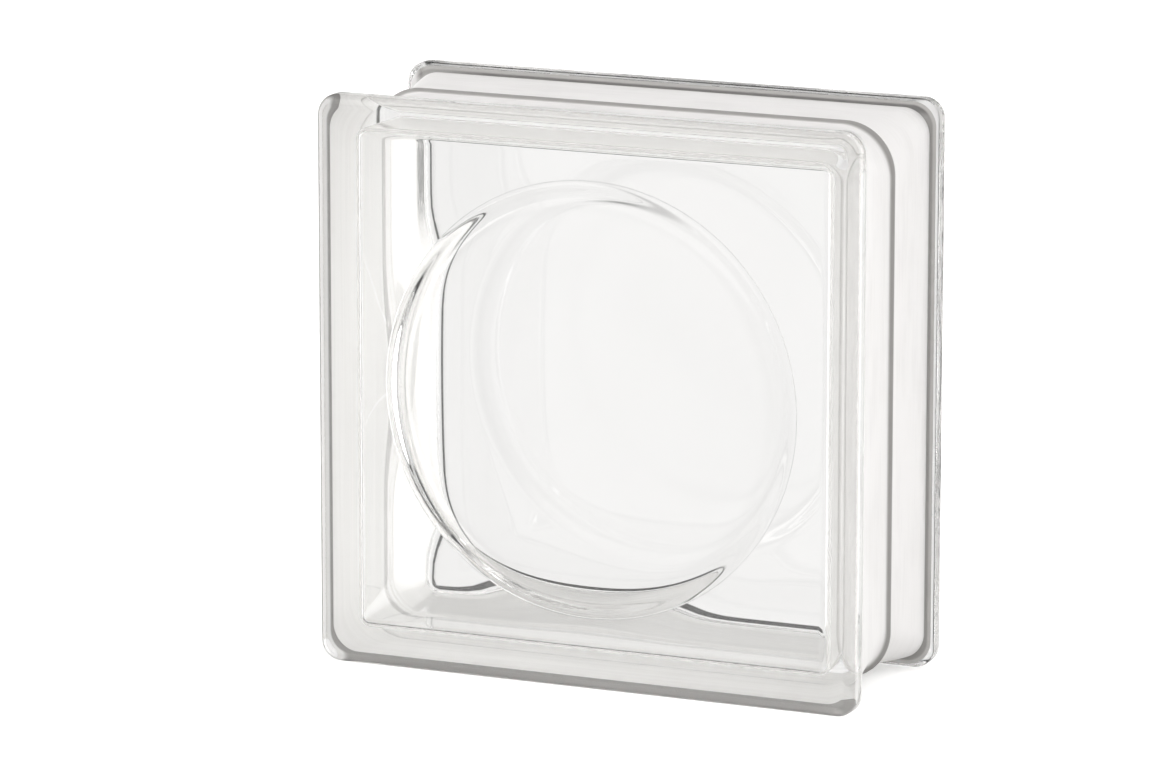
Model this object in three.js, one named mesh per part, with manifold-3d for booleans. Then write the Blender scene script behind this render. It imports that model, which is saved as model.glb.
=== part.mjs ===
// A pressed glass block: two square half shells fused edge to edge round a sealed hollow.
// Millimetres, +Z up. X runs across the width, Y through the depth with the front face towards -Y.
// The origin is in the middle of the edge that the block stands on.

import * as THREE from "three";
import { mergeVertices } from "three/addons/utils/BufferGeometryUtils.js";
import Module from "manifold-3d";

// The block
const SIZE = 190; // width and height
const DEPTH = 80;

// The flange round each face
const FLANGE_DEPTH = 8.5; // from the face to the flange's back
const FLANGE_CORNER = 7; // round of the four corners, seen from the front
const FACE_EDGE = 4; // round from the face onto the rim
const BACK_EDGE = 1; // round from the rim onto the flange's back
const FLANGE_STEP = 3; // how far the rim stands up from the foot of the flange's back

// The mortar channel between the two flanges
const CHANNEL_FLOOR = 4.3; // how far the floor lies inside the rim
const FOLD = 0.7; // hollow round where the flange's back meets the floor
const FOLD_CORNER = 9; // round of the channel's corners, at the fold
const SEAM_CORNER = 17; // and at the seam

// The raised bead where the two halves are fused
const BEAD_HALF_WIDTH = 2.2;
const BEAD_OUTSIDE = 1.4;
const BEAD_INSIDE = 0.6;

// The hollow
const PANE = 11; // thickness of the pane outside its round dish
const HOLLOW_AT_PANE = 83.6; // half the hollow's width at the pane
const HOLLOW_AT_SEAM = 85.3; // and at the seam: the walls have draft
const HOLLOW_CORNER_AT_PANE = 3.5;
const HOLLOW_CORNER_AT_SEAM = 12;
const PANE_FILLET = 3.2; // round between the pane's inner face and the walls

// The round dish pressed into each pane's inner face: a gentle bowl with a steep rim
const DISH_RADIUS = 72.3;
const RIM_FALL = 2.4; // depth of the steep rim
const RIM_POWER = 31; // the higher, the narrower the rim
const RIM_EASE = 3.7; // the higher, the softer the round at the rim's top
const BOWL_FALL = 2.7; // further depth of the bowl
const BOWL_POWER = 3; // the higher, the flatter the bowl's middle

// Fineness
const CORNER_STEPS = 8; // facets in a quarter turn of a wall's corner
const EDGE_STEPS = 5; // facets in an edge's round
const FOLD_STEPS = 3;
const FLOOR_STEPS = 5;
const BEAD_STEPS = 4;
const DISH_STEPS = 16; // they crowd towards the rim
const DISH_SIDES = 96;
const WELD = 1e-4; // points closer than this are one point

const HALF_SIZE = SIZE / 2;
const FACE_Y = -DEPTH / 2;
const PANE_Y = FACE_Y + PANE;
const QUARTER_TURN = Math.PI / 2;
const OVERRUN = 1; // how far a cutter runs past the surface that it opens
const { lerp, mapLinear, smoothstep } = THREE.MathUtils;

const wasm = await Module();
wasm.setup();

const glass = new THREE.MeshStandardMaterial({
  name: "clear_glass",
  color: 0xe4ebe7,
  roughness: 0.04,
  metalness: 0,
  transparent: true,
  opacity: 0.35,
});

// The whole numbers from 0 to count, as shares from 0 to 1.
function shares(count) {
  return Array.from({ length: count + 1 }, (_, i) => i / count);
}

// One ring of a loft: a square with round corners, at depth y, listed anticlockwise seen from -Y.
function ringPoints({ y, half, corner }) {
  const points = [];
  const middle = half - corner;
  for (let quarter = 0; quarter < 4; quarter++) {
    const start = quarter * QUARTER_TURN;
    const middleX = middle * Math.sign(Math.cos(start + QUARTER_TURN / 2));
    const middleZ = middle * Math.sign(Math.sin(start + QUARTER_TURN / 2));
    for (const share of shares(CORNER_STEPS)) {
      const angle = start + share * QUARTER_TURN;
      points.push([middleX + corner * Math.cos(angle), y, middleZ + corner * Math.sin(angle)]);
    }
  }
  return points;
}

// A closed solid through square rings that run from the lowest y to the highest.
function loft(rings) {
  const outlines = rings.map(ringPoints);
  const count = outlines[0].length;
  const positions = outlines.flat(2);
  const index = [];
  for (let ring = 0; ring < rings.length - 1; ring++) {
    for (let i = 0; i < count; i++) {
      const a = ring * count + i;
      const b = ring * count + ((i + 1) % count);
      index.push(a, a + count, b, b, a + count, b + count);
    }
  }
  const lastRing = (rings.length - 1) * count;
  const lowCentre = positions.length / 3;
  positions.push(0, rings[0].y, 0, 0, rings.at(-1).y, 0);
  for (let i = 0; i < count; i++) {
    const next = (i + 1) % count;
    index.push(lowCentre, i, next, lowCentre + 1, lastRing + next, lastRing + i);
  }
  const geometry = new THREE.BufferGeometry();
  geometry.setAttribute("position", new THREE.Float32BufferAttribute(positions, 3));
  geometry.setIndex(index);
  return geometry;
}

function solidOf(geometry) {
  const bare = geometry.clone();
  bare.deleteAttribute("normal");
  bare.deleteAttribute("uv");
  const merged = mergeVertices(bare, WELD);
  return new wasm.Manifold(
    new wasm.Mesh({
      numProp: 3,
      vertProperties: merged.attributes.position.array,
      triVerts: new Uint32Array(merged.index.array),
    }),
  );
}

function geometryOf(solid) {
  const { vertProperties, triVerts } = solid.getMesh();
  const geometry = new THREE.BufferGeometry();
  geometry.setAttribute("position", new THREE.BufferAttribute(vertProperties, 3));
  geometry.setIndex(new THREE.BufferAttribute(triVerts, 1));
  return geometry;
}

// How far a fused bead of the given height stands up, at a distance from the seam.
function beadRise(height, distance) {
  return height * Math.cos((QUARTER_TURN * distance) / BEAD_HALF_WIDTH) ** 2;
}

// The outside of a half: the face's round edge, the rim, the flange's back, the channel and the bead.
function outerRings() {
  const rimStart = FACE_Y + FACE_EDGE;
  const flangeBack = FACE_Y + FLANGE_DEPTH;
  const rimEnd = flangeBack - BACK_EDGE;
  const floorStart = flangeBack + FOLD;
  const profile = [];
  for (const share of shares(EDGE_STEPS)) {
    const turn = share * QUARTER_TURN;
    profile.push([FACE_Y + FACE_EDGE * (1 - Math.cos(turn)), FACE_EDGE * (1 - Math.sin(turn))]);
  }
  for (const share of shares(EDGE_STEPS)) {
    const turn = share * QUARTER_TURN;
    profile.push([flangeBack - BACK_EDGE * (1 - Math.sin(turn)), BACK_EDGE * (1 - Math.cos(turn))]);
  }
  for (const share of shares(FOLD_STEPS)) {
    const turn = share * QUARTER_TURN;
    profile.push([flangeBack + FOLD * (1 - Math.cos(turn)), FLANGE_STEP - FOLD * (1 - Math.sin(turn))]);
  }
  for (const share of shares(FLOOR_STEPS).slice(1, -1)) {
    const y = lerp(floorStart, -BEAD_HALF_WIDTH, share);
    profile.push([y, lerp(FLANGE_STEP, CHANNEL_FLOOR, Math.sin(share * QUARTER_TURN))]);
  }
  for (const share of shares(BEAD_STEPS)) {
    const distance = BEAD_HALF_WIDTH * (1 - share);
    profile.push([-distance, CHANNEL_FLOOR - beadRise(BEAD_OUTSIDE, distance)]);
  }
  return profile.map(([y, inset]) => {
    const flangeCorner = lerp(FLANGE_CORNER, FOLD_CORNER, smoothstep(y, rimEnd, floorStart));
    const corner = lerp(flangeCorner, SEAM_CORNER, smoothstep(y, floorStart, -BEAD_HALF_WIDTH));
    return { y, half: HALF_SIZE - inset, corner: y < rimStart ? corner - inset : corner };
  });
}

// The hollow of a half, run past the seam so that it cuts cleanly.
function hollowRings() {
  const rings = [];
  const halfAt = (y) => mapLinear(y, PANE_Y, 0, HOLLOW_AT_PANE, HOLLOW_AT_SEAM);
  const cornerAt = (y) => mapLinear(y, PANE_Y, 0, HOLLOW_CORNER_AT_PANE, HOLLOW_CORNER_AT_SEAM);
  for (const share of shares(EDGE_STEPS)) {
    const turn = share * QUARTER_TURN;
    const y = PANE_Y + PANE_FILLET * (1 - Math.cos(turn));
    const inset = PANE_FILLET * (1 - Math.sin(turn));
    rings.push({ y, half: halfAt(y) - inset, corner: cornerAt(y) - inset });
  }
  for (const share of shares(BEAD_STEPS)) {
    const distance = BEAD_HALF_WIDTH * (1 - share);
    const inset = beadRise(BEAD_INSIDE, distance);
    rings.push({ y: -distance, half: halfAt(-distance) - inset, corner: cornerAt(-distance) - inset });
  }
  rings.push({ ...rings.at(-1), y: OVERRUN });
  return rings;
}

// The dish, as a turned solid whose low side is the dish's own curve.
function dish() {
  const points = shares(DISH_STEPS).map((step) => {
    const share = Math.sin(step * QUARTER_TURN);
    const fall = RIM_FALL * (1 - share ** RIM_POWER) ** RIM_EASE + BOWL_FALL * (1 - share ** BOWL_POWER);
    return new THREE.Vector2(DISH_RADIUS * share, PANE_Y - fall);
  });
  for (const radius of [DISH_RADIUS, 0]) points.push(new THREE.Vector2(radius, PANE_Y + OVERRUN));
  return new THREE.LatheGeometry(points, DISH_SIDES);
}

const half = geometryOf(
  solidOf(loft(outerRings())).subtract(solidOf(loft(hollowRings()))).subtract(solidOf(dish())),
);

const block = new THREE.Group();
block.name = "glass_block";

const frontHalf = new THREE.Mesh(half, glass.clone());
frontHalf.name = "front_half";
frontHalf.position.z = HALF_SIZE;

const rearHalf = new THREE.Mesh(half, glass.clone());
rearHalf.name = "rear_half";
rearHalf.position.z = HALF_SIZE;
rearHalf.rotation.z = Math.PI;

block.add(frontHalf, rearHalf);

export default block;
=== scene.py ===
"""A clear hollow glass block: two pressed halves fused edge to edge, each with a round dish in its pane."""

import math
from collections import namedtuple

import bpy
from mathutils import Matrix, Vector


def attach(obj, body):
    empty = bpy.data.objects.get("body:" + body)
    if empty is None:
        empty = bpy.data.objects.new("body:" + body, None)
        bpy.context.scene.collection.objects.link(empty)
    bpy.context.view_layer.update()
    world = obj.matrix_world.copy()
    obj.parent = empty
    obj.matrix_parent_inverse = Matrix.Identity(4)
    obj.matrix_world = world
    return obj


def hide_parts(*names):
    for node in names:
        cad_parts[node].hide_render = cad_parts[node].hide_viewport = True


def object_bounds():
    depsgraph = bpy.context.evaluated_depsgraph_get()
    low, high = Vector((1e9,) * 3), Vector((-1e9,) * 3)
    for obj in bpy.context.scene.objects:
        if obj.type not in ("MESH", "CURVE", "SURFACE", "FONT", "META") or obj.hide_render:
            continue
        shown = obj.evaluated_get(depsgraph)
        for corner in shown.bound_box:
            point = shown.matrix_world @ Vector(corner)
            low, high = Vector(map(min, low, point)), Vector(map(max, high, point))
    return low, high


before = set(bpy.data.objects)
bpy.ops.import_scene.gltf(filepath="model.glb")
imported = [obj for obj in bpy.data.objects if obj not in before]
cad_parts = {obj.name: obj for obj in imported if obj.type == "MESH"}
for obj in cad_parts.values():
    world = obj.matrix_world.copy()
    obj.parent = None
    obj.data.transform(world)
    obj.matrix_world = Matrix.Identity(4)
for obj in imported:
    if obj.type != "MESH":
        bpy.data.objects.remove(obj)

bl_info = {
    "name": "Glass block",
    "version": (1, 0, 0),
    "blender": (4, 5, 0),
    "location": "View3D > Sidebar > Glass block",
    "description": "Builds a hollow glass building block and the studio that it stands in",
    "category": "Add Mesh",
}

MM = 0.001
QUARTER_TURN = math.pi / 2
CAD_LOW, CAD_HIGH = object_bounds()
HALF_SIZE = (CAD_HIGH.x - CAD_LOW.x) / 2
HALF_DEPTH = (CAD_HIGH.y - CAD_LOW.y) / 2
MIDDLE_HEIGHT = (CAD_LOW.z + CAD_HIGH.z) / 2

# Facets along each stretch of a half's section, and round its outline
EDGE_STEPS = 12
RIM_STEPS = 4
FOLD_STEPS = 6
FLOOR_STEPS = 16
BEAD_STEPS = 10
WALL_STEPS = 14
SHOULDER_STEPS = 8
RIM_RING_STEPS = 36
BOWL_STEPS = 30
CORNER_STEPS = 20
SIDE_STEPS = 44
STEEP_SHARE = 0.8  # share of the dish's radius inside which it is gentle
SHOULDER_POWER = 3.0  # the higher, the sooner the soft shoulder outside the dish levels out

# How far inside the pane's and the face's outlines their flat parts begin
FLAT_INSET = 0.3 * MM

# Points closer than this are one point, and depths nearer the seam than this are on it
WELD = 2e-6
SEAM_DEPTH = 1e-6

# The pressed surfaces' slow wander: its noise scale, and the depth over which it fades in from the seam
WANDER_SCALE = 28.0
WANDER_FADE = 6 * MM

# How the glass is finished along the section: bare, chilled by the mould, or coated. A face takes a finish
# when its points' mean lies no further below it than the slack.
BARE, CHILLED, COATED = 0.0, 0.5, 1.0
FINISH_SLACK = 0.1

# Where the coat changes, each pair a fade; on the flange back and in the crease this paints shade.
# FLANGE_BACK and BEAD_EDGE are distances from the seam, and CREASE_EDGE is one from the block's middle. The
# others are places across the block, along its depth or up its height.
FLANGE_BACK = (30.4 * MM, 30.9 * MM)
BEAD_EDGE = (1.0 * MM, 1.9 * MM)
CREASE_EDGE = (92.4 * MM, 93.2 * MM)
CREASE_CORNER = 85.5 * MM  # where the crease's outline starts to round its corners
LIP_SHADE_LEFT = (-92.5 * MM, -90 * MM)  # left of this the flange back gets no painted shade outside
CREASE_SHADE_REAR_LEFT = (-115 * MM, -95 * MM)  # across less depth: no painted shade inside the crease at the left of the rear half
FOOT_SHADE_HEIGHT = (184 * MM, 186.5 * MM)  # above this the crease gets deeper painted shade outside
STREAK_DEPTH = 29.5 * MM
STREAK_REACH = (5 * MM, 2.5 * MM)
STREAK_SIDE = (-88 * MM, -90 * MM)
STREAK_HEIGHT = (128 * MM, 150 * MM)
PATCH_SHARE = 0.12  # how much the uneven cover's patches thin the coat

# Noise levels between which a pattern's marks fade in
HAIR_LEVELS = (0.45, 0.7)
PATCH_LEVELS = (0.85, 1.3)
BAND_LEVELS = (0.4, 0.6)
BROKEN_LEVELS = (0.36, 0.46)
RIPPLE_SHARE = 0.08  # height of the ripples, against the slow waves'

# Shares of a colour's strength in hairlines, streaks, bands and deeper painted shade
HAIRLINE_SHADE = 0.985
STREAK_SHADE = 0.85
BAND_SHADE = 0.95
PAINTED_SHADE_SHARE = 0.5

# Roughness, and the share of light that the coat lets through, from where the finish is whole to where it is
# marked or rubbed; on the coat this also takes in the bead and the flange back with its painted shade
CLEAR_ROUGHNESS = (0.0, 0.02)
RIM_ROUGHNESS = (0.18, 0.35)
COAT_ROUGHNESS = (0.62, 0.45)
COAT_PASSES = (0.2, 0.28)

# Light crosses many surfaces on its way through the hollow
LIGHT_BOUNCES = {
    "max_bounces": 20,
    "diffuse_bounces": 4,
    "glossy_bounces": 12,
    "transmission_bounces": 20,
}

# The two halves: the solid that each stands for, its turn, and its wander's seed
HALVES = (
    ("front_half", 0.0, 3.0),
    ("rear_half", math.pi, 8.0),
)

# Sizes that the pressed half's tree takes as inputs
TREE_SIZES = (
    "waviness",
    "dish_radius",
    "rim_fall",
    "rim_power",
    "rim_ease",
    "bowl_fall",
    "bowl_power",
    "shoulder_fall",
    "shoulder_width",
    "groove_width",
    "groove_depth",
)
FINISHES = ("Glass", "Rim glass", "Edge coat", "Fused joint")

# A point of the section. Its outline is a square of this half size with round corners, blended into a circle
# by roundness. Dished is 1 where the dish lowers the point.
Station = namedtuple("Station", "depth half_size corner roundness dished coat")
Card = namedtuple("Card", "azimuth elevation half_width half_height side_fade top_fade level")

# A light tent's white paper, soft boxes and black flags, in degrees: where each stands, how far it reaches
# and how far its edges fade. Azimuth 0 is in front of the block and 90 is on its right. A flag takes light
# away, so its level is negative.
CARDS = {
    "Paper behind": Card(188, -38, 42, 53, 14, 8, 0.26),
    "Box behind on the right": Card(132, 10, 22, 34, 6, 8, 2.4),
    "Box above and behind": Card(150, 54, 34, 13, 8, 7, 1.2),
    "Box above in front": Card(352, 42, 62, 20, 10, 8, 1.25),
    "Box on the left": Card(282, 0, 20, 40, 3, 8, 3.0),
    "Box in front on the left": Card(338, -8, 22, 22, 8, 8, 0.8),
    "Flag overhead": Card(0, 84, 180, 22, 1, 8, -0.45),
    "Flag behind on the left": Card(248, 0, 15, 60, 3, 8, -1.2),
    "Flag above the paper": Card(221, 36, 18, 19, 5, 5, -0.8),
    "Flag behind and below": Card(220, -66, 24, 27, 6, 4, -1.5),
    "Flag in front on the left": Card(308, -10, 7, 34, 3, 8, -0.6),
    "Flag in front and below": Card(322, -50, 26, 12, 6, 5, -0.5),
}


def length(name, description, default, top=0.2):
    """A property for a length in metres."""
    return bpy.props.FloatProperty(
        name=name, description=description, default=default, min=0.0, max=top, unit="LENGTH", precision=4
    )


def number(name, description, default, **more):
    """A property for any other number."""
    return bpy.props.FloatProperty(name=name, description=description, default=default, **more)


def color(name, description, default):
    """A property for a colour."""
    return bpy.props.FloatVectorProperty(
        name=name, description=description, default=default, subtype="COLOR", size=3
    )


class BlockSizes(bpy.types.PropertyGroup):
    """Sizes of one pressed half, in metres."""

    flange_depth: length("Flange depth", "From the face to the flange's back", 8.5 * MM)
    flange_corner: length("Flange corner", "Round of the flange's four corners", 7 * MM)
    flange_step: length("Flange step", "How far the flange stands up from the foot of its back", 3.0 * MM)
    face_edge: length("Face edge", "Round from the face onto the rim", 4 * MM)
    back_edge: length("Back edge", "Round from the rim onto the flange's back", 1.0 * MM)
    fold: length("Fold", "Hollow round where the flange's back meets the channel", 0.7 * MM)
    fold_corner: length("Fold corner", "Round of the channel's corners at the fold", 9 * MM)
    channel_floor: length("Channel floor", "How far the mortar channel lies inside the rim", 4.3 * MM)
    seam_corner: length("Seam corner", "Round of the walls' corners at the seam", 17 * MM)
    bead_width: length("Bead half width", "Half the width of the fused bead", 2.2 * MM)
    bead_outside: length("Bead outside", "Height of the bead in the channel", 1.4 * MM)
    bead_inside: length("Bead inside", "Height of the bead in the hollow", 0.6 * MM)
    pane: length("Pane", "Thickness of the pane outside its dish", 11 * MM)
    hollow_pane: length("Hollow at pane", "Half the hollow's width at the pane", 83.6 * MM)
    hollow_seam: length("Hollow at seam", "Half the hollow's width at the seam", 85.3 * MM)
    hollow_corner_pane: length("Hollow corner at pane", "Round of the hollow's corners at the pane", 3.5 * MM)
    hollow_corner_seam: length("Hollow corner at seam", "Round of the hollow's corners at the seam", 12 * MM)
    pane_fillet: length("Pane fillet", "Round between the pane and the walls", 3.2 * MM)
    dish_radius: length("Dish radius", "Radius of the round dish in the pane", 72.3 * MM)
    rim_fall: length("Rim fall", "Depth of the dish's steep rim", 2.4 * MM)
    bowl_fall: length("Bowl fall", "Further depth of the dish's gentle bowl", 2.7 * MM)
    shoulder_fall: length("Shoulder fall", "How far the pane rounds off outside the dish", 0.4 * MM)
    shoulder_width: length("Shoulder width", "Over what distance it does so", 12 * MM)
    groove_width: length("Groove width", "Half the width of the fine groove round the dish", 0.12 * MM)
    groove_depth: length("Groove depth", "Depth of the fine groove round the dish", 0.3 * MM)
    rim_power: number("Rim power", "The higher, the narrower the dish's steep rim", 31.0)
    rim_ease: number("Rim ease", "The higher, the softer the round at the rim's top", 3.7)
    bowl_power: number("Bowl power", "The higher, the flatter the dish's middle", 3.0)
    waviness: length("Waviness", "How far the pressed surfaces wander", 0.004 * MM)


class GlassLook(bpy.types.PropertyGroup):
    """Finish of the glass."""

    tint: color("Tint", "Colour that the glass passes", (0.992, 0.993, 0.991))
    ior: number("Index of refraction", "Soda-lime glass", 1.52)
    wave_height: length("Wave height", "Height of the slow waves in the pressed surfaces", 0.005 * MM)
    chill_height: length("Chill height", "Height of the chill marks on the rims", 0.004 * MM)
    grain_height: length("Grain height", "Height of the white coat's grain", 0.02 * MM)
    coat: color("Coat", "Colour of the white coat, seen through the glass", (0.975, 0.971, 0.961))
    # the coat's outside is painted darker than its inside, as shade; both are the same white coat
    outside_coat_shaded: color("Coat outside", "Colour of the coat's outside", (0.86, 0.85, 0.85))
    # the thin coat's colour, which also paints shade on the flange back and in the crease, and darkens the
    # bead
    thin_and_shaded_coat: color("Thin and shaded coat", "Colour where the coat is thin", (0.41, 0.4, 0.39))
    broken_coat: color("Broken coat", "Colour where the coat is broken", (0.03, 0.03, 0.027))
    coat_glow: color("Coat glow", "Colour that the coat lets through", (0.94, 0.935, 0.92))


class StageLook(bpy.types.PropertyGroup):
    """Camera, light and floor."""

    lens: number("Lens", "Focal length", 212.9, unit="CAMERA")
    azimuth: number("Azimuth", "Camera's turn round the block", math.radians(23.854), unit="ROTATION")
    elevation: number("Elevation", "Camera's height above the level", math.radians(12.255), unit="ROTATION")
    distance: length("Distance", "From the aimed point to the camera", 2.2306, top=10.0)
    aim_aside: number("Aim aside", "Aimed point, across the view", -0.01782, unit="LENGTH")
    aim_height: number("Aim height", "Aimed point, above the floor", 0.09402, unit="LENGTH")
    ambient: number("Ambient", "Level of the tent between the boxes", 0.6)
    tent_color: color("Tent", "Colour of the tent's light", (1.0, 0.992, 0.985))
    floor_size: length("Floor size", "Side of the floor", 20.0, top=100.0)
    floor_color: color("Floor", "Colour of the floor", (0.86, 0.86, 0.855))
    floor_glow: number("Floor glow", "What the camera sees added to the floor", 0.38)


def shares(count):
    """The steps from 0 to 1, both included."""
    return [i / count for i in range(count + 1)]


def lerp(a, b, share):
    return a + (b - a) * share


def smooth_share(value, low, high):
    share = min(max((value - low) / (high - low), 0.0), 1.0)
    return share * share * (3 - 2 * share)


def bead_rise(height, distance, half_width):
    return height * math.cos(QUARTER_TURN * min(distance / half_width, 1.0)) ** 2


def outer_stations(s):
    """The outside of the front half, from the middle of its face to the seam."""
    face = -HALF_DEPTH
    back = face + s.flange_depth
    profile = [(face, s.face_edge + FLAT_INSET, BARE)]
    for share in shares(EDGE_STEPS):
        turn = share * QUARTER_TURN
        depth, inset = face + s.face_edge * (1 - math.cos(turn)), s.face_edge * (1 - math.sin(turn))
        profile.append((depth, inset, BARE))
    rim_start, rim_end = face + s.face_edge, back - s.back_edge
    for share in shares(RIM_STEPS)[1:-1]:
        profile.append((lerp(rim_start, rim_end, share), 0.0, CHILLED))
    for share in shares(EDGE_STEPS):
        turn = share * QUARTER_TURN
        depth, inset = back - s.back_edge * (1 - math.sin(turn)), s.back_edge * (1 - math.cos(turn))
        profile.append((depth, inset, COATED if share == 1 else CHILLED))
    for share in shares(FOLD_STEPS):
        turn = share * QUARTER_TURN
        depth, inset = back + s.fold * (1 - math.cos(turn)), s.flange_step - s.fold * (1 - math.sin(turn))
        profile.append((depth, inset, COATED))
    floor_start = back + s.fold
    for share in shares(FLOOR_STEPS)[1:-1]:
        inset = lerp(s.flange_step, s.channel_floor, math.sin(share * QUARTER_TURN))
        profile.append((lerp(floor_start, -s.bead_width, share), inset, COATED))
    for share in shares(BEAD_STEPS):
        distance = s.bead_width * (1 - share)
        rise = bead_rise(s.bead_outside, distance, s.bead_width)
        profile.append((-distance, s.channel_floor - rise, COATED))
    stations = [Station(face, 0.0, 0.0, 0.0, 0.0, BARE)]
    for depth, inset, coat in profile:
        flange = smooth_share(depth, rim_end, floor_start)
        channel = smooth_share(depth, floor_start, -s.bead_width)
        corner = lerp(lerp(s.flange_corner, s.fold_corner, flange), s.seam_corner, channel)
        corner -= inset * (1 - smooth_share(depth, rim_start, rim_end)) if depth < rim_end else 0.0
        stations.append(Station(depth, HALF_SIZE - inset, corner, 0.0, 0.0, coat))
    return stations


def hollow_stations(s):
    """The hollow's side of the front half, from the seam to the pane."""
    pane = -HALF_DEPTH + s.pane
    stations = []

    def station(depth, inset):
        share = (depth - pane) / -pane
        half = lerp(s.hollow_pane, s.hollow_seam, share) - inset
        corner = lerp(s.hollow_corner_pane, s.hollow_corner_seam, share) - inset
        stations.append(Station(depth, half, corner, 0.0, 0.0, BARE))

    for share in shares(BEAD_STEPS):
        distance = s.bead_width * share
        station(-distance, bead_rise(s.bead_inside, distance, s.bead_width))
    wall_end = pane + s.pane_fillet
    for share in shares(WALL_STEPS)[1:-1]:
        station(lerp(-s.bead_width, wall_end, share), 0.0)
    for share in shares(EDGE_STEPS):
        turn = share * QUARTER_TURN
        station(wall_end - s.pane_fillet * math.sin(turn), s.pane_fillet * (1 - math.cos(turn)))
    return stations


def pane_stations(s, edge):
    """The pane's side to the hollow, from the hollow's edge inwards. The tree lowers it into the dish."""
    pane = -HALF_DEPTH + s.pane
    stations = []

    def station(half, corner=0.0, roundness=1.0):
        stations.append(Station(pane, half, corner, roundness, 1.0, BARE))

    for share in shares(SHOULDER_STEPS):
        half = lerp(edge.half_size - FLAT_INSET, s.dish_radius + 2 * s.groove_width, share)
        station(half, edge.corner, share)
    for step in (1, 0, -1, -2):  # close rings, so that the groove bends the shading of nothing else
        station(s.dish_radius + step * s.groove_width)
    steep_end = STEEP_SHARE * s.dish_radius
    for share in shares(RIM_RING_STEPS)[1:]:
        station(lerp(s.dish_radius, steep_end, share))
    for share in shares(BOWL_STEPS)[1:]:
        station(steep_end * (1 - share))
    return stations


def feed(tree, socket, value):
    """Links a socket to an input, or sets a plain value there."""
    if isinstance(value, bpy.types.NodeSocket):
        tree.links.new(value, socket)
    else:
        socket.default_value = value


def add(tree, kind, operation=None, **inputs):
    """A node, its inputs set by name to values or linked to sockets. Names like a0, a1 mean input 0, 1."""
    made = tree.nodes.new(kind)
    if operation:
        made.operation = operation
    for name, value in inputs.items():
        key = int(name[1:]) if name[0] == "a" and name[1:].isdigit() else name
        feed(tree, made.inputs[key], value)
    return made


def math_of(tree, operation, *values):
    return add(tree, "ShaderNodeMath", operation, **{f"a{i}": v for i, v in enumerate(values)}).outputs[0]


def vector_of(tree, operation, *values, scale=None):
    """A vector operation's result, which is a plain value for a length."""
    made = add(tree, "ShaderNodeVectorMath", operation, **{f"a{i}": v for i, v in enumerate(values)})
    if scale is not None:
        feed(tree, made.inputs["Scale"], scale)
    return made.outputs["Value" if operation == "LENGTH" else "Vector"]


def combine(tree, x, y, z):
    return add(tree, "ShaderNodeCombineXYZ", a0=x, a1=y, a2=z).outputs[0]


def mix_of(tree, kind, share, a, b):
    """A mix of two colours, RGBA, or of two vectors, VECTOR."""
    made = tree.nodes.new("ShaderNodeMix")
    made.data_type = kind
    ends = [i for i in made.inputs if i.type == kind and i.name in ("A", "B")]
    for socket, value in zip((made.inputs["Factor"], *ends), (share, a, b)):
        feed(tree, socket, value)
    return [o for o in made.outputs if o.type == kind][0]


def noise_of(tree, place, seed, detail, roughness=0.5, scale=1.0):
    """Noise that the seed shifts to another place of its pattern."""
    made = tree.nodes.new("ShaderNodeTexNoise")
    made.noise_dimensions = "4D"
    shape = (("Scale", scale), ("Detail", detail), ("Roughness", roughness))
    for key, value in (("Vector", place), ("W", seed), *shape):
        feed(tree, made.inputs[key], value)
    return made.outputs["Fac"]


def named(tree, name, kind="FLOAT"):
    made = add(tree, "GeometryNodeInputNamedAttribute", Name=name)
    made.data_type = kind
    return made.outputs["Attribute"]


def input_name(size):
    """The tree's name for an input that holds a size."""
    return size.replace("_", " ").capitalize()


def dish_fall(tree, start, place):
    """How far the pane lies below its outer level: bowl, steep rim, fine groove and soft shoulder."""
    radius = vector_of(tree, "LENGTH", place)
    share = math_of(tree, "DIVIDE", radius, start["Dish radius"])
    inside = math_of(tree, "MINIMUM", share, 1.0)
    steep = math_of(tree, "SUBTRACT", 1.0, math_of(tree, "POWER", inside, start["Rim power"]))
    rim = math_of(tree, "MULTIPLY", start["Rim fall"], math_of(tree, "POWER", steep, start["Rim ease"]))
    gentle = math_of(tree, "SUBTRACT", 1.0, math_of(tree, "POWER", inside, start["Bowl power"]))
    bowl = math_of(tree, "MULTIPLY", start["Bowl fall"], gentle)
    beyond = math_of(tree, "MAXIMUM", math_of(tree, "SUBTRACT", radius, start["Dish radius"]), 0.0)
    left = math_of(tree, "SUBTRACT", 1.0, math_of(tree, "DIVIDE", beyond, start["Shoulder width"]))
    eased = math_of(tree, "POWER", math_of(tree, "MAXIMUM", left, 0.0), SHOULDER_POWER)
    shoulder = math_of(tree, "MULTIPLY", start["Shoulder fall"], eased)
    off = math_of(tree, "ABSOLUTE", math_of(tree, "SUBTRACT", radius, start["Dish radius"]))
    within = math_of(tree, "SUBTRACT", 1.0, math_of(tree, "DIVIDE", off, start["Groove width"]))
    groove = math_of(tree, "MULTIPLY", start["Groove depth"], math_of(tree, "MAXIMUM", within, 0.0))
    return math_of(tree, "ADD", math_of(tree, "ADD", rim, bowl), math_of(tree, "ADD", shoulder, groove))


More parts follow.
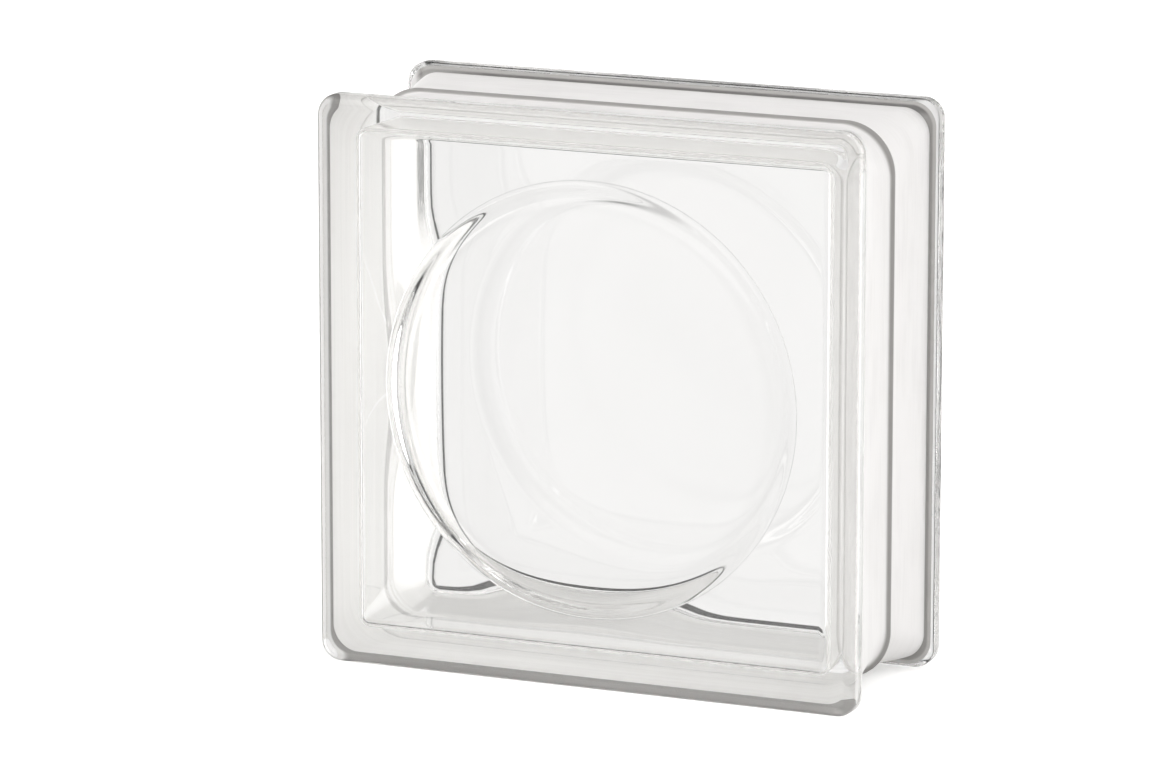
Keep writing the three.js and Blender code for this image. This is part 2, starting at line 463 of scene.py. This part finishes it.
def pressed_half_tree(sizes):
    """Sweeps a section round a square with round corners, closes it, and gives each part its material."""
    tree = bpy.data.node_groups.new("Pressed half", "GeometryNodeTree")
    face = tree.interface

    def socket(name, kind, way="INPUT"):
        return face.new_socket(name, in_out=way, socket_type="NodeSocket" + kind)

    socket("Geometry", "Geometry")
    for name, default in (("Corner steps", CORNER_STEPS), ("Side steps", SIDE_STEPS)):
        socket(name, "Int").default_value = default
    for name, default in (("Height", MIDDLE_HEIGHT), ("Turn", 0.0), ("Seed", 0.0)):
        socket(name, "Float").default_value = default
    for name in ("Pane half", "Pane corner"):
        socket(name, "Float")
    for size in TREE_SIZES:
        socket(input_name(size), "Float").default_value = getattr(sizes, size)
    for name in FINISHES:
        socket(name, "Material")
    socket("Geometry", "Geometry", "OUTPUT")
    start = tree.nodes.new("NodeGroupInput").outputs
    end = tree.nodes.new("NodeGroupOutput")

    # the outline: which way each of its points turns, and which of the square's round corners it belongs to
    corner_steps, side_steps = start["Corner steps"], start["Side steps"]
    per_quarter = math_of(tree, "ADD", corner_steps, side_steps)
    index = tree.nodes.new("GeometryNodeInputIndex").outputs[0]
    quarter = math_of(tree, "FLOOR", math_of(tree, "DIVIDE", index, per_quarter))
    step = math_of(tree, "SUBTRACT", index, math_of(tree, "MULTIPLY", quarter, per_quarter))
    turned = math_of(tree, "MINIMUM", math_of(tree, "DIVIDE", step, corner_steps), 1.0)
    turn = math_of(tree, "MULTIPLY", math_of(tree, "ADD", quarter, turned), QUARTER_TURN)
    past_corner = math_of(tree, "SUBTRACT", step, corner_steps)
    along = math_of(tree, "MAXIMUM", math_of(tree, "DIVIDE", past_corner, side_steps), 0.0)
    way = combine(tree, math_of(tree, "COSINE", turn), 0.0, math_of(tree, "SINE", turn))
    middle_turn = math_of(tree, "MULTIPLY", math_of(tree, "ADD", quarter, 0.5), QUARTER_TURN)

    def corner_middle(angle):
        cosine = math_of(tree, "COSINE", angle)
        sine = math_of(tree, "SINE", angle)
        return combine(tree, math_of(tree, "SIGN", cosine), 0.0, math_of(tree, "SIGN", sine))

    here = corner_middle(middle_turn)
    there = corner_middle(math_of(tree, "ADD", middle_turn, QUARTER_TURN))
    step_over = vector_of(tree, "SUBTRACT", there, here)
    middle = vector_of(tree, "ADD", here, vector_of(tree, "SCALE", step_over, scale=along))

    around = math_of(tree, "MULTIPLY", per_quarter, 4.0)
    outline = add(tree, "GeometryNodeCurvePrimitiveCircle", Resolution=around).outputs[0]
    for name, value in (("way", way), ("middle", middle)):
        store = tree.nodes.new("GeometryNodeStoreNamedAttribute")
        store.data_type = "FLOAT_VECTOR"
        store.domain = "POINT"
        for key, given in (("Geometry", outline), ("Name", name), ("Value", value)):
            feed(tree, store.inputs[key], given)
        outline = store.outputs[0]

    section = add(tree, "GeometryNodeMeshToCurve", a0=start["Geometry"]).outputs[0]
    sweep = add(tree, "GeometryNodeCurveToMesh", a0=outline, a1=section).outputs[0]

    way, middle = named(tree, "way", "FLOAT_VECTOR"), named(tree, "middle", "FLOAT_VECTOR")

    def square_point(half, corner):
        to_corner = vector_of(tree, "SCALE", middle, scale=math_of(tree, "SUBTRACT", half, corner))
        return vector_of(tree, "ADD", to_corner, vector_of(tree, "SCALE", way, scale=corner))

    square = square_point(named(tree, "half_size"), named(tree, "corner"))
    radial = vector_of(tree, "NORMALIZE", square_point(start["Pane half"], start["Pane corner"]))
    ring = vector_of(tree, "SCALE", radial, scale=named(tree, "half_size"))
    mixed = mix_of(tree, "VECTOR", named(tree, "roundness"), square, ring)
    depth = named(tree, "depth")
    fall = math_of(tree, "MULTIPLY", dish_fall(tree, start, mixed), named(tree, "dished"))
    place = vector_of(tree, "ADD", mixed, combine(tree, 0.0, math_of(tree, "SUBTRACT", depth, fall), 0.0))
    placed = add(tree, "GeometryNodeSetPosition", Geometry=sweep, Position=place).outputs[0]
    merged = add(tree, "GeometryNodeMergeByDistance", Geometry=placed, Distance=WELD).outputs[0]

    # slow wander of the pressed surfaces, inwards only, and none at the seam
    position = tree.nodes.new("GeometryNodeInputPosition").outputs[0]
    normal = tree.nodes.new("GeometryNodeInputNormal").outputs[0]
    to_seam = math_of(tree, "ABSOLUTE", depth)
    noise = noise_of(tree, position, detail=1.0, seed=start["Seed"], scale=WANDER_SCALE)
    away = add(tree, "ShaderNodeMapRange", Value=to_seam, **{"From Max": WANDER_FADE}).outputs[0]
    amount = math_of(tree, "MULTIPLY", math_of(tree, "MULTIPLY", noise, start["Waviness"]), away)
    wander = vector_of(tree, "SCALE", normal, scale=math_of(tree, "MULTIPLY", amount, -1.0))
    waved = add(tree, "GeometryNodeSetPosition", Geometry=merged, Offset=wander).outputs[0]

    # smooth shading, but flat on the faces that are fused to the other half
    seam = add(tree, "FunctionNodeCompare", "LESS_THAN", A=to_seam, B=SEAM_DEPTH).outputs[0]
    shaded = waved
    for smooth, where in ((True, True), (False, seam)):
        shading = add(tree, "GeometryNodeSetShadeSmooth", Geometry=shaded, Selection=where)
        shading.domain = "FACE"
        shading.inputs["Shade Smooth"].default_value = smooth
        shaded = shading.outputs[0]

    lift, turn = (combine(tree, 0.0, 0.0, start[name]) for name in ("Height", "Turn"))
    moved = add(tree, "GeometryNodeTransform", Geometry=shaded, Translation=lift, Rotation=turn).outputs[0]
    finish = add(tree, "GeometryNodeRealizeInstances", a0=moved).outputs[0]
    coat = named(tree, "coat")
    chilled, coated = (
        add(tree, "FunctionNodeCompare", "GREATER_THAN", A=coat, B=level - FINISH_SLACK).outputs[0]
        for level in (CHILLED, COATED)
    )
    for name, where in zip(FINISHES, (True, chilled, coated, seam)):
        inputs = {"Geometry": finish, "Selection": where, "Material": start[name]}
        finish = add(tree, "GeometryNodeSetMaterial", **inputs).outputs[0]
    tree.links.new(finish, end.inputs[0])
    return tree


def set_input(modifier, name, value):
    """A modifier's input, by its socket's identifier."""
    items = modifier.node_group.interface.items_tree
    found = [i for i in items if i.item_type == "SOCKET" and i.in_out == "INPUT" and i.name == name]
    modifier[found[0].identifier] = value


def section_object(name, stations):
    """The section as a string of points that carry their station."""
    mesh = bpy.data.meshes.new(name)
    points = [(0.0, station.depth, i * MM) for i, station in enumerate(stations)]
    mesh.from_pydata(points, [(i, i + 1) for i in range(len(points) - 1)], [])
    for column in Station._fields:
        layer = mesh.attributes.new(column, "FLOAT", "POINT")
        layer.data.foreach_set("value", [getattr(station, column) for station in stations])
    made = bpy.data.objects.new(name, mesh)
    bpy.context.scene.collection.objects.link(made)
    return made


def plain_mesh(obj):
    """Turns an object with a live modifier into a plain mesh."""
    graph = bpy.context.evaluated_depsgraph_get()
    mesh = bpy.data.meshes.new_from_object(obj.evaluated_get(graph))
    obj.modifiers.clear()
    obj.data = mesh
    for name in (*Station._fields, "way", "middle"):
        if name in mesh.attributes:
            mesh.attributes.remove(mesh.attributes[name])


def new_group(name, inputs, outputs):
    """A shader node group of plain values, with its input sockets by name and its output node."""
    tree = bpy.data.node_groups.new(name, "ShaderNodeTree")
    for key, default in inputs.items():
        socket = tree.interface.new_socket(key, in_out="INPUT", socket_type="NodeSocketFloat")
        socket.default_value = default
    for key in outputs:
        tree.interface.new_socket(key, in_out="OUTPUT", socket_type="NodeSocketFloat")
    return tree, tree.nodes.new("NodeGroupInput").outputs, tree.nodes.new("NodeGroupOutput")


def parts_of(tree, coordinates):
    """The X, Y and Z of a kind of texture coordinates."""
    place = tree.nodes.new("ShaderNodeTexCoord").outputs[coordinates]
    return add(tree, "ShaderNodeSeparateXYZ", a0=place).outputs


def scaled_place(tree, x, y, z):
    """Object coordinates divided by a size in millimetres along each axis, so a long size draws a streak."""
    place = tree.nodes.new("ShaderNodeTexCoord").outputs["Object"]
    return vector_of(tree, "DIVIDE", place, (x * MM, y * MM, z * MM))


def ramp_of(tree, value, low, high, out_low=0.0, out_high=1.0):
    """A smooth rise from one level to another as the value goes from low to high."""
    made = tree.nodes.new("ShaderNodeMapRange")
    made.interpolation_type = "SMOOTHSTEP"
    shape = (("From Min", low), ("From Max", high), ("To Min", out_low), ("To Max", out_high))
    for key, given in (("Value", value), *shape):
        feed(tree, made.inputs[key], given)
    return made.outputs[0]


def mix_colors(tree, share, a, b):
    return mix_of(tree, "RGBA", share, a, b)


def pressing_group():
    """Marks that pressing leaves: slow waves, and hairlines that run along the edges."""
    tree, start, end = new_group("Pressing marks", {"Waves": 1.0, "Hairlines": 1.0}, ("Height", "Mask"))
    waves = noise_of(tree, scaled_place(tree, 22, 22, 22), detail=0.0, seed=2.0)
    ripples = noise_of(tree, scaled_place(tree, 5, 5, 5), detail=0.0, seed=5.0)
    slow = math_of(tree, "ADD", waves, math_of(tree, "MULTIPLY", ripples, RIPPLE_SHARE))
    hairs = noise_of(tree, scaled_place(tree, 60, 0.7, 60), detail=1.0, roughness=0.6, seed=7.0)
    high = math_of(tree, "MULTIPLY", slow, start["Waves"])
    fine = math_of(tree, "MULTIPLY", hairs, start["Hairlines"])
    tree.links.new(math_of(tree, "ADD", high, fine), end.inputs["Height"])
    tree.links.new(ramp_of(tree, hairs, *HAIR_LEVELS), end.inputs["Mask"])
    return tree


def patch_group():
    """Uneven cover: broad cloudy patches broken up by short streaks and grains."""
    tree, start, end = new_group("Uneven cover", {"Streak": 1.0, "Grain": 1.0}, ("Mask", "Height"))
    cloud = noise_of(tree, scaled_place(tree, 26, 9, 26), detail=1.0, seed=11.0)
    streak = noise_of(tree, scaled_place(tree, 14, 0.9, 14), detail=2.0, roughness=0.65, seed=13.0)
    grain = noise_of(tree, scaled_place(tree, 0.5, 0.5, 0.5), detail=1.0, roughness=0.7, seed=17.0)
    long = math_of(tree, "MULTIPLY", streak, start["Streak"])
    short = math_of(tree, "MULTIPLY", grain, start["Grain"])
    patches = ramp_of(tree, math_of(tree, "ADD", cloud, streak), *PATCH_LEVELS)
    tree.links.new(patches, end.inputs["Mask"])
    tree.links.new(math_of(tree, "ADD", long, short), end.inputs["Height"])
    return tree


def bumped(tree, shader, height, distance):
    """Feeds a height to the shader's normal; the distance is the height's size in metres."""
    bump = add(tree, "ShaderNodeBump", Distance=distance, Height=height)
    tree.links.new(bump.outputs["Normal"], shader.inputs["Normal"])


def mixed_surface(tree, share, first, second):
    """Puts a mix of two shaders on the surface."""
    both = add(tree, "ShaderNodeMixShader", a0=share, a1=first.outputs[0], a2=second.outputs[0])
    tree.links.new(both.outputs[0], tree.nodes["Material Output"].inputs["Surface"])


def placed_group(tree, group, **values):
    made = tree.nodes.new("ShaderNodeGroup")
    made.node_tree = group
    for key, value in values.items():
        made.inputs[key].default_value = value
    return made.outputs


def shade(tone, level=1.0):
    """A colour at a share of its strength, as a colour socket takes it."""
    return (*(level * part for part in tone), 1.0)


def new_material(name):
    material = bpy.data.materials.new(name)
    material.use_nodes = True
    tree = material.node_tree
    return material, tree, tree.nodes["Principled BSDF"]


def new_glass(name, look):
    """A clear material of the glass's own index."""
    material, tree, shader = new_material(name)
    shader.inputs["Transmission Weight"].default_value = 1.0
    shader.inputs["IOR"].default_value = look.ior
    return material, tree, shader


def glass_material(look, pressing):
    """Clear fire-polished glass: nearly flawless, with slow waves and faint hairlines."""
    material, tree, shader = new_glass("Clear pressed glass", look)
    marks = placed_group(tree, pressing, Waves=1.0, Hairlines=0.05)
    tint = mix_colors(tree, marks["Mask"], shade(look.tint), shade(look.tint, HAIRLINE_SHADE))
    tree.links.new(tint, shader.inputs["Base Color"])
    tree.links.new(ramp_of(tree, marks["Mask"], 0.2, 1.0, *CLEAR_ROUGHNESS), shader.inputs["Roughness"])
    bumped(tree, shader, marks["Height"], look.wave_height)
    return material


def rim_material(look, cover):
    """The same glass where the mould chilled it and it is rubbed: streaky, with a broken gloss."""
    material, tree, shader = new_glass("Chilled rim glass", look)
    marks = placed_group(tree, cover, Streak=1.0, Grain=0.12)
    tint = mix_colors(tree, marks["Mask"], shade(look.tint), shade(look.tint, STREAK_SHADE))
    tree.links.new(tint, shader.inputs["Base Color"])
    tree.links.new(ramp_of(tree, marks["Mask"], 0.0, 1.0, *RIM_ROUGHNESS), shader.inputs["Roughness"])
    bumped(tree, shader, marks["Height"], look.chill_height)
    return material


def out_of(tree, place):
    """How far a place lies from the block's middle, measured square with round corners."""
    height = math_of(tree, "SUBTRACT", place["Z"], MIDDLE_HEIGHT)
    away = [math_of(tree, "ABSOLUTE", value) for value in (place["X"], height)]
    past = [math_of(tree, "SUBTRACT", value, CREASE_CORNER) for value in away]
    aside, above = (math_of(tree, "MAXIMUM", value, 0.0) for value in past)
    return math_of(tree, "ADD", vector_of(tree, "LENGTH", combine(tree, aside, 0.0, above)), CREASE_CORNER)


def broken_streaks(tree, place):
    """Where the coat is broken: short upright streaks beside the rear flange, high on the left side."""
    streaks = noise_of(tree, scaled_place(tree, 0.9, 0.5, 7), detail=3.0, roughness=0.7, seed=19.0)
    mask = ramp_of(tree, streaks, *BROKEN_LEVELS)
    near = math_of(tree, "ABSOLUTE", math_of(tree, "SUBTRACT", place["Y"], STREAK_DEPTH))
    for value, fade in ((near, STREAK_REACH), (place["X"], STREAK_SIDE), (place["Z"], STREAK_HEIGHT)):
        mask = math_of(tree, "MULTIPLY", mask, ramp_of(tree, value, *fade))
    return mask


def coat_material(look, cover):
    """The mortar channel's thin matt white coat, with painted shade. Light shines through it, most where it
    is thin in patches, over the bead and on the flange back.
    """
    material, tree, shader = new_material("White edge coat")
    marks = placed_group(tree, cover, Streak=0.35, Grain=1.0)
    place = parts_of(tree, "Object")
    depth = math_of(tree, "ABSOLUTE", place["Y"])
    flange = ramp_of(tree, depth, *FLANGE_BACK)
    bead = ramp_of(tree, depth, *BEAD_EDGE, 1.0, 0.0)
    patches = math_of(tree, "MULTIPLY", marks["Mask"], PATCH_SHARE)
    # painted shade on the flange back, which faces the camera side, on all but the left
    lip = math_of(tree, "MULTIPLY", flange, ramp_of(tree, place["X"], *LIP_SHADE_LEFT))
    # rubbed: thin patches of the coat, the bead, and the flange back with its painted shade
    rubbed = math_of(tree, "MAXIMUM", math_of(tree, "MAXIMUM", lip, bead), patches)
    # crease: the fold at the flange back, where shade is painted inside and, at the top, outside
    crease = math_of(tree, "MULTIPLY", flange, ramp_of(tree, out_of(tree, place), *CREASE_EDGE, 1.0, 0.0))
    across = math_of(tree, "SUBTRACT", place["X"], place["Y"])
    # painted shade inside the crease, seen through the glass, on all but the left of the rear half
    crease_shade_inside = math_of(tree, "MULTIPLY", crease, ramp_of(tree, across, *CREASE_SHADE_REAR_LEFT))
    broken = broken_streaks(tree, place)
    # painted shade outside, in the crease at the foot of the top flange back
    foot = math_of(tree, "MULTIPLY", crease, ramp_of(tree, place["Z"], *FOOT_SHADE_HEIGHT))
    bands = noise_of(tree, scaled_place(tree, 90, 3, 90), detail=1.0, seed=23.0)

    # thin: the thin coat's colour, which also paints shade; dark: deeper painted shade
    thin, dark = shade(look.thin_and_shaded_coat), shade(look.thin_and_shaded_coat, PAINTED_SHADE_SHARE)
    # outside: darker in thin patches and over the bead, with painted shade on the flange back
    outside = mix_colors(tree, rubbed, shade(look.outside_coat_shaded), thin)
    # deeper painted shade at the foot of the top flange back
    outside = mix_colors(tree, foot, outside, dark)
    banded = ramp_of(tree, bands, *BAND_LEVELS)
    inside = mix_colors(tree, banded, shade(look.coat, BAND_SHADE), shade(look.coat))
    # painted shade inside the crease
    inside = mix_colors(tree, crease_shade_inside, inside, thin)
    inside = mix_colors(tree, broken, inside, shade(look.broken_coat))
    # outside and inside are one white coat, the outside painted darker as shade
    back = tree.nodes.new("ShaderNodeNewGeometry").outputs["Backfacing"]
    tree.links.new(mix_colors(tree, back, outside, inside), shader.inputs["Base Color"])
    tree.links.new(ramp_of(tree, rubbed, 0.0, 1.0, *COAT_ROUGHNESS), shader.inputs["Roughness"])
    shader.inputs["Specular IOR Level"].default_value = 0.3
    bumped(tree, shader, marks["Height"], look.grain_height)

    through = tree.nodes.new("ShaderNodeBsdfTranslucent")
    # the light let through darkens over the bead, in the crease as painted shade, and where the coat is
    # broken
    dim = math_of(tree, "MAXIMUM", math_of(tree, "MAXIMUM", bead, crease_shade_inside), broken)
    tree.links.new(mix_colors(tree, dim, shade(look.coat_glow), dark), through.inputs["Color"])
    mixed_surface(tree, ramp_of(tree, rubbed, 0.0, 1.0, *COAT_PASSES), shader, through)
    return material


def joint_material():
    """The two halves are fused, so light passes from one to the other unchanged."""
    material, _, shader = new_material("Fused joint")
    shader.inputs["Alpha"].default_value = 0.0
    return material


class GLASSBLOCK_OT_halves(bpy.types.Operator):
    """Build the two pressed halves"""

    bl_idname = "glassblock.halves"
    bl_label = "Pressed halves"

    def execute(self, context):
        sizes = context.scene.glass_block_sizes
        look = context.scene.glass_block_look
        tree = pressed_half_tree(sizes)
        pressing, cover = pressing_group(), patch_group()
        glass, rim = glass_material(look, pressing), rim_material(look, cover)
        finishes = (glass, rim, coat_material(look, cover), joint_material())
        stations = outer_stations(sizes) + hollow_stations(sizes)
        inner = pane_stations(sizes, stations[-1])
        values = {"Pane half": inner[0].half_size, "Pane corner": inner[0].corner}
        values.update((input_name(size), getattr(sizes, size)) for size in TREE_SIZES)
        values.update(zip(FINISHES, finishes))
        for node, turn, seed in HALVES:
            made = section_object(node + "_glass", stations + inner)
            modifier = made.modifiers.new("Pressed half", "NODES")
            modifier.node_group = tree
            for name, value in {**values, "Turn": turn, "Seed": seed}.items():
                set_input(modifier, name, value)
            plain_mesh(made)
            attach(made, "root")
            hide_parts(node)
        return {"FINISHED"}


def studio_world(stage):
    """A light tent with soft boxes, black flags and white paper behind. The camera sees plain white."""
    world = bpy.data.worlds.new("Studio")
    world.use_nodes = True
    tree = world.node_tree
    way = parts_of(tree, "Generated")
    turn = math_of(tree, "ARCTAN2", way["X"], math_of(tree, "MULTIPLY", way["Y"], -1.0))
    azimuth = math_of(tree, "DEGREES", turn)
    elevation = math_of(tree, "DEGREES", math_of(tree, "ARCSINE", way["Z"]))
    light = stage.ambient
    for card in CARDS.values():
        off = math_of(tree, "WRAP", math_of(tree, "SUBTRACT", azimuth, card.azimuth), 180.0, -180.0)
        aside = math_of(tree, "ABSOLUTE", off)
        above = math_of(tree, "ABSOLUTE", math_of(tree, "SUBTRACT", elevation, card.elevation))
        near, far = card.half_width - card.side_fade, card.half_width + card.side_fade
        low, high = card.half_height - card.top_fade, card.half_height + card.top_fade
        across = ramp_of(tree, aside, near, far, card.level, 0.0)
        upright = ramp_of(tree, above, low, high, 1.0, 0.0)
        light = math_of(tree, "ADD", light, math_of(tree, "MULTIPLY", across, upright))
    light = math_of(tree, "MAXIMUM", light, 0.0)
    seen = tree.nodes.new("ShaderNodeLightPath").outputs["Is Camera Ray"]
    shown = add(tree, "ShaderNodeMix", a0=seen, a2=light, a3=1.0).outputs[0]
    background = tree.nodes["Background"].inputs
    tree.links.new(shown, background["Strength"])
    background["Color"].default_value = shade(stage.tent_color)
    return world


def floor_material(stage):
    """Pale matt floor. What is seen in gloss or through glass is the light tent, past the floor."""
    material, tree, shader = new_material("Pale floor")
    shader.inputs["Base Color"].default_value = shade(stage.floor_color)
    shader.inputs["Roughness"].default_value = 0.9
    shader.inputs["Specular IOR Level"].default_value = 0.1
    shader.inputs["Emission Color"].default_value = (1.0, 1.0, 1.0, 1.0)
    path = tree.nodes.new("ShaderNodeLightPath").outputs
    glow = math_of(tree, "MULTIPLY", path["Is Camera Ray"], stage.floor_glow)
    tree.links.new(glow, shader.inputs["Emission Strength"])
    passed = math_of(tree, "MAXIMUM", path["Is Glossy Ray"], path["Is Transmission Ray"])
    mixed_surface(tree, passed, shader, tree.nodes.new("ShaderNodeBsdfTransparent"))
    return material


def floor_object(stage):
    half = stage.floor_size / 2
    mesh = bpy.data.meshes.new("floor")
    corners = [(-half, -half, 0), (half, -half, 0), (half, half, 0), (-half, half, 0)]
    mesh.from_pydata(corners, [], [(0, 1, 2, 3)])
    mesh.materials.append(floor_material(stage))
    made = bpy.data.objects.new("floor", mesh)
    bpy.context.scene.collection.objects.link(made)


class GLASSBLOCK_OT_stage(bpy.types.Operator):
    """Set up the floor, the light and the camera"""

    bl_idname = "glassblock.stage"
    bl_label = "Stage"

    def execute(self, context):
        scene = context.scene
        stage = scene.glass_block_stage
        scene.view_settings.view_transform = "Standard"
        for name, count in LIGHT_BOUNCES.items():
            setattr(scene.cycles, name, count)
        scene.cycles.blur_glossy = 0.0
        scene.world = studio_world(stage)
        floor_object(stage)

        camera = bpy.data.cameras.new("Camera")
        camera.sensor_width = 36.0
        camera.lens = stage.lens
        camera.clip_end = 50.0
        holder = bpy.data.objects.new("Camera", camera)
        scene.collection.objects.link(holder)
        a, e = stage.azimuth, stage.elevation
        away = Vector((math.sin(a) * math.cos(e), -math.cos(a) * math.cos(e), math.sin(e)))
        aim = Vector((stage.aim_aside * math.cos(a), stage.aim_aside * math.sin(a), stage.aim_height))
        holder.location = aim + away * stage.distance
        holder.rotation_euler = (-away).to_track_quat("-Z", "Y").to_euler()
        scene.camera = holder
        return {"FINISHED"}


class GLASSBLOCK_PT_panel(bpy.types.Panel):
    """Glass block tools"""

    bl_idname = "GLASSBLOCK_PT_panel"
    bl_label = "Glass block"
    bl_space_type = "VIEW_3D"
    bl_region_type = "UI"
    bl_category = "Glass block"

    def draw(self, context):
        for operator in (GLASSBLOCK_OT_halves, GLASSBLOCK_OT_stage):
            self.layout.operator(operator.bl_idname)


CLASSES = (
    BlockSizes,
    GlassLook,
    StageLook,
    GLASSBLOCK_OT_halves,
    GLASSBLOCK_OT_stage,
    GLASSBLOCK_PT_panel,
)


def register():
    for item in CLASSES:
        bpy.utils.register_class(item)
    bpy.types.Scene.glass_block_sizes = bpy.props.PointerProperty(type=BlockSizes)
    bpy.types.Scene.glass_block_look = bpy.props.PointerProperty(type=GlassLook)
    bpy.types.Scene.glass_block_stage = bpy.props.PointerProperty(type=StageLook)


def unregister():
    for name in ("glass_block_sizes", "glass_block_look", "glass_block_stage"):
        delattr(bpy.types.Scene, name)
    for item in reversed(CLASSES):
        bpy.utils.unregister_class(item)


def main():
    register()
    bpy.ops.glassblock.halves()
    bpy.ops.glassblock.stage()


if __name__ == "__main__":
    main()
